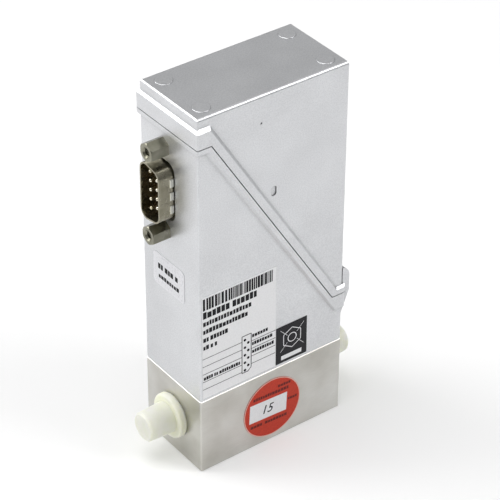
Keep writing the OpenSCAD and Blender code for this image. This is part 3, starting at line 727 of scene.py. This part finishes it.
motif = hexagon(3.3, 0.22) + ring_band(*MOTIF, 1.5, 0.24)
RAY_OUT, RAY_IN = (3.9, 3.6), (1.6, 1.2)
for side in (-1, 1):
    for rise in (-1, 1):
        motif.append(stroke((MOTIF[0] + side * RAY_OUT[0], MOTIF[1] + rise * RAY_OUT[1]),
                            (MOTIF[0] + side * RAY_IN[0], MOTIF[1] + rise * RAY_IN[1]), 0.12))
motif.append(box_outline(symbol_w * 0.17, 0.9, symbol_w * 0.66, 1.35))
ink("symbol_print", motif, symbol_plane, pale_ink)
print("motif centred at", [round(v, 1) for v in MOTIF], "mm on the dark label")

# %% [markdown]
# ## Round label
# The red label on the base has a pale rim, a white window with a plain number in
# it, and short rows of dark type around the window. It was stuck on slightly
# turned, so all its print is turned by the same angle.

# %% Round label
ROUND_TILT = math.radians(-2.8)
WINDOW = (12.5, 6.05)
centre = Matrix.Translation((round_w / 2, round_h / 2, 0))
tilted = round_plane @ centre @ Matrix.Rotation(ROUND_TILT, 4, "Z")
label_r = round_w / 2
ink("round_rim", ring_band(0, 0, label_r - 0.02, 0.28, 72), tilted, pink_ink)
ink("round_window", [box_outline(-7.6, -2.9, *WINDOW)], tilted, pale_ink)


def arched(x, y, length, height, blocks, seed, angle=0.0):
    return {**CHARACTER, "x": x, "y": y, "length": length, "height": height, "blocks": blocks, "seed": seed,
            "angle": angle}


rows("round_rows", tilted, maroon_ink, "label_red",
     arched(-6.6, 4.2, 12.0, 1.0, 14, 31),
     arched(1.6, 5.9, 4.4, 0.9, 5, 33),
     arched(5.3, 0.2, 3.2, 0.8, 4, 35),
     arched(-7.0, -4.9, 4.0, 0.9, 4, 37),
     arched(-2.2, -4.9, 7.6, 0.9, 8, 39))


def number(name, text, size_mm, x, y, plane, material):
    """A plain number as a mesh of raised ink, its middle at x and y."""
    curve = bpy.data.curves.new(name, "FONT")
    curve.body, curve.size = text, size_mm
    curve.align_x, curve.align_y = "CENTER", "CENTER"
    curve.extrude, curve.resolution_u = INK_MM / 2, 4
    curve.shear, curve.offset = 0.25, 0.015
    host = bpy.data.objects.new(name, curve)
    scene.collection.objects.link(host)
    depsgraph = bpy.context.evaluated_depsgraph_get()
    mesh = bpy.data.meshes.new_from_object(host.evaluated_get(depsgraph))
    bpy.data.objects.remove(host)
    build = bmesh.new()
    build.from_mesh(mesh)
    bmesh.ops.remove_doubles(build, verts=build.verts, dist=1e-5)
    bmesh.ops.recalc_face_normals(build, faces=build.faces)
    build.to_mesh(mesh)
    build.free()
    mesh.transform(plane @ Matrix.Translation((x, y, INK_MM * 1.4)))
    return as_piece(name, mesh, material)


number("round_number", "15", 4.0, -1.8, 0.0, tilted, dark_ink)
print("round label radius", round(label_r, 2), "mm")

# %% [markdown]
# ## Label on the connector face
# Under the connector is a small film with two rows of type, the upper one larger.

# %% Label on the connector face
rows("signal_rows", signal_plane, dark_ink, "label_black",
     {**CHARACTER, "x": 2.2, "y": 5.3, "length": 9.6, "height": 1.7, "blocks": 6, "seed": 41,
      "word_gap": 1.4, "word_share": 0.25},
     {**CHARACTER, "x": 2.4, "y": 2.4, "length": 9.2, "height": 1.25, "blocks": 8, "seed": 42})

# %% [markdown]
# ## Threads
# Four tapped mouths can be looked into: one in each jackscrew and two in the
# bottom. A thread is a ridge that follows a helix, again a rule: a spiral curve
# with the hole's radius and the thread's pitch carries a three-sided profile.

# %% Threads


def thread_tree():
    """Geometry Nodes tree: a helical ridge inside a tapped hole, along +Z."""
    tree = bpy.data.node_groups.new("thread", "GeometryNodeTree")
    face = tree.interface
    face.new_socket("Geometry", in_out="OUTPUT", socket_type="NodeSocketGeometry")
    for label, value in (("Radius", 0.0011), ("Depth", 0.004), ("Pitch", 0.0006), ("Ridge", 0.0003)):
        face.new_socket(label, in_out="INPUT", socket_type="NodeSocketFloat").default_value = value
    face.new_socket("Material", in_out="INPUT", socket_type="NodeSocketMaterial")
    link, add = tree.links.new, tree.nodes.new
    given = add("NodeGroupInput").outputs
    turns = add("ShaderNodeMath")
    turns.operation = "DIVIDE"
    link(given["Depth"], turns.inputs[0])
    link(given["Pitch"], turns.inputs[1])
    helix = add("GeometryNodeCurveSpiral")
    helix.inputs["Resolution"].default_value = 24
    link(turns.outputs[0], helix.inputs["Rotations"])
    link(given["Radius"], helix.inputs["Start Radius"])
    link(given["Radius"], helix.inputs["End Radius"])
    link(given["Depth"], helix.inputs["Height"])
    profile = add("GeometryNodeCurvePrimitiveCircle")
    profile.inputs["Resolution"].default_value = 3
    link(given["Ridge"], profile.inputs["Radius"])
    sweep = add("GeometryNodeCurveToMesh")
    link(helix.outputs["Curve"], sweep.inputs["Curve"])
    link(profile.outputs["Curve"], sweep.inputs["Profile Curve"])
    sweep.inputs["Fill Caps"].default_value = True
    solid = add("GeometryNodeRealizeInstances")
    link(sweep.outputs["Mesh"], solid.inputs["Geometry"])
    finish = add("GeometryNodeSetMaterial")
    link(solid.outputs["Geometry"], finish.inputs["Geometry"])
    link(given["Material"], finish.inputs["Material"])
    link(finish.outputs["Geometry"], add("NodeGroupOutput").inputs[0])
    return tree


thread = thread_tree()


def tapped(name, radius, depth, pitch, place, material):
    """A thread in a hole of that radius, its mouth at place's origin and its depth along place's +Z."""
    mesh = grow(thread, {"Radius": radius * MM, "Depth": depth * MM, "Pitch": pitch * MM,
                         "Ridge": pitch * 0.42 * MM, "Material": material})
    mesh.transform(place)
    return as_piece(name, mesh, material)


for name in ("jackscrew_upper", "jackscrew_lower"):
    low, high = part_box(name)
    mouth = Vector((low.x + 0.6 * MM, (low.y + high.y) / 2, (low.z + high.z) / 2))
    into = Matrix.Translation(mouth) @ Matrix.Rotation(math.radians(90), 4, "Y")
    tapped(name + "_thread", 1.1, 4.0, 0.635, into, olive_nickel)
FOOT_X = 17     # from the middle of the base to each foot hole
for name, x in (("foot_thread_front", -FOOT_X), ("foot_thread_rear", FOOT_X)):
    tapped(name, 1.65, 5.2, 0.7, Matrix.Translation(Vector((x, 0, 0.4)) * MM), steel)
print("threads cut in both jackscrews and both foot holes")

# %% [markdown]
# ## Floor
# The meter stands on a white table that runs on without an edge. A matt floor
# under this light comes out pale grey, so a small glow lifts it to white. The
# glow is there for camera, glossy and transmitted rays alone: the metal mirrors a
# white table, but the object gets no extra light from it, and its shadow stays.
# Far from the object the table turns plain white for the camera, so that it joins
# the white room without a line. In the metal its far part is darker, as a studio
# is beyond the lit table, and this gives the rounded edges their dark lines.

# %% Floor
TABLE_HALF = 3.0        # metres
NEAR, FAR = 0.35, 1.00  # metres from the object, where the table starts and ends to fade


def either(tree, *values):
    """The largest of some 0-or-1 values."""
    result = values[0]
    for value in values[1:]:
        node = tree.nodes.new("ShaderNodeMath")
        node.operation = "MAXIMUM"
        tree.links.new(result, node.inputs[0])
        tree.links.new(value, node.inputs[1])
        result = node.outputs[0]
    return result


def glow(tree, grey):
    node = tree.nodes.new("ShaderNodeEmission")
    node.inputs["Color"].default_value = (grey, grey, grey * 1.005, 1)
    return node.outputs[0]


def blend(tree, share, first, second):
    node = tree.nodes.new("ShaderNodeMixShader")
    for source, target in zip((share, first, second), node.inputs):
        tree.links.new(source, target)
    return node.outputs[0]


def table_white():
    material = bpy.data.materials.new("table_white")
    material.use_nodes = True
    tree = material.node_tree
    tree.nodes.clear()
    link, add = tree.links.new, tree.nodes.new
    rays = add("ShaderNodeLightPath").outputs
    seen = either(tree, rays["Is Camera Ray"], rays["Is Glossy Ray"], rays["Is Transmission Ray"])
    matt, lifted = add("ShaderNodeBsdfDiffuse"), add("ShaderNodeAddShader")
    matt.inputs["Color"].default_value = (0.84, 0.84, 0.84, 1)
    link(matt.outputs[0], lifted.inputs[0])
    link(glow(tree, 0.14), lifted.inputs[1])
    distance = add("ShaderNodeVectorMath")
    distance.operation = "LENGTH"
    link(add("ShaderNodeTexCoord").outputs["Object"], distance.inputs[0])
    far_off = ramp(tree, distance.outputs["Value"], [(NEAR, 0.0), (FAR, 1.0)])
    beyond = blend(tree, rays["Is Glossy Ray"], glow(tree, 1.0), glow(tree, 0.30))
    shown = blend(tree, far_off, lifted.outputs[0], beyond)
    link(blend(tree, seen, matt.outputs[0], shown), add("ShaderNodeOutputMaterial").inputs["Surface"])
    return material


def make_table(half):
    mesh = bpy.data.meshes.new("table")
    corners = [(-half, -half, 0), (half, -half, 0), (half, half, 0), (-half, half, 0)]
    mesh.from_pydata(corners, [], [(0, 1, 2, 3)])
    mesh.materials.append(table_white())
    table = bpy.data.objects.new("table", mesh)
    scene.collection.objects.link(table)


make_table(TABLE_HALF)
print("table", 2 * TABLE_HALF, "m wide")

# %% [markdown]
# ## Light
# Two soft boxes stand where the two bevels mirror them to the camera: a strong
# one behind on the left, which throws the shadow to the front right, and a
# weaker one on the right. A third hangs overhead and softens the shadow. The
# room itself is brightest overhead and darkens
# towards the horizon, as a studio does, so that rounded edges get a dark line.
# For the camera the room is plain white.

# %% Lamps and room
KEY_DIRECTION = Vector((-0.58, 0.65, 0.49))
FILL_DIRECTION = Vector((0.49, -0.58, 0.65))
OVERHEAD_DIRECTION = Vector((-0.25, 0.05, 0.97))


def soft_box(name, direction, distance, size, power):
    data = bpy.data.lights.new(name, "AREA")
    data.shape, data.size, data.energy = "SQUARE", size, power
    lamp = bpy.data.objects.new(name, data)
    scene.collection.objects.link(lamp)
    lamp.location = AIM + direction.normalized() * distance
    lamp.rotation_mode = "QUATERNION"
    lamp.rotation_quaternion = direction.to_track_quat("Z", "Y")
    return lamp


def make_room():
    world = bpy.data.worlds.new("room")
    scene.world = world
    world.use_nodes = True
    tree = world.node_tree
    tree.nodes.clear()
    link, add = tree.links.new, tree.nodes.new
    split = add("ShaderNodeSeparateXYZ")
    link(add("ShaderNodeTexCoord").outputs["Generated"], split.inputs[0])
    tones = ramp(tree, split.outputs["Z"], [(0.0, 0.08), (0.14, 0.10), (0.35, 0.33), (0.9, 0.52)])
    room, white, choose = add("ShaderNodeBackground"), add("ShaderNodeBackground"), add("ShaderNodeMixShader")
    link(tones, room.inputs["Color"])
    white.inputs["Color"].default_value = (1, 1, 1, 1)
    link(add("ShaderNodeLightPath").outputs["Is Camera Ray"], choose.inputs["Fac"])
    link(room.outputs[0], choose.inputs[1])
    link(white.outputs[0], choose.inputs[2])
    link(choose.outputs[0], add("ShaderNodeOutputWorld").inputs["Surface"])


soft_box("key_box", KEY_DIRECTION, 1.0, 0.60, 4.6)
soft_box("fill_box", FILL_DIRECTION, 1.0, 0.45, 3.2)
soft_box("overhead_box", OVERHEAD_DIRECTION, 1.0, 0.60, 3.6)
make_room()
scene.view_settings.view_transform = "Standard"
print("lit by two soft boxes and the room")

# %% Count the added pieces
print(len(root_pieces), "pieces added")
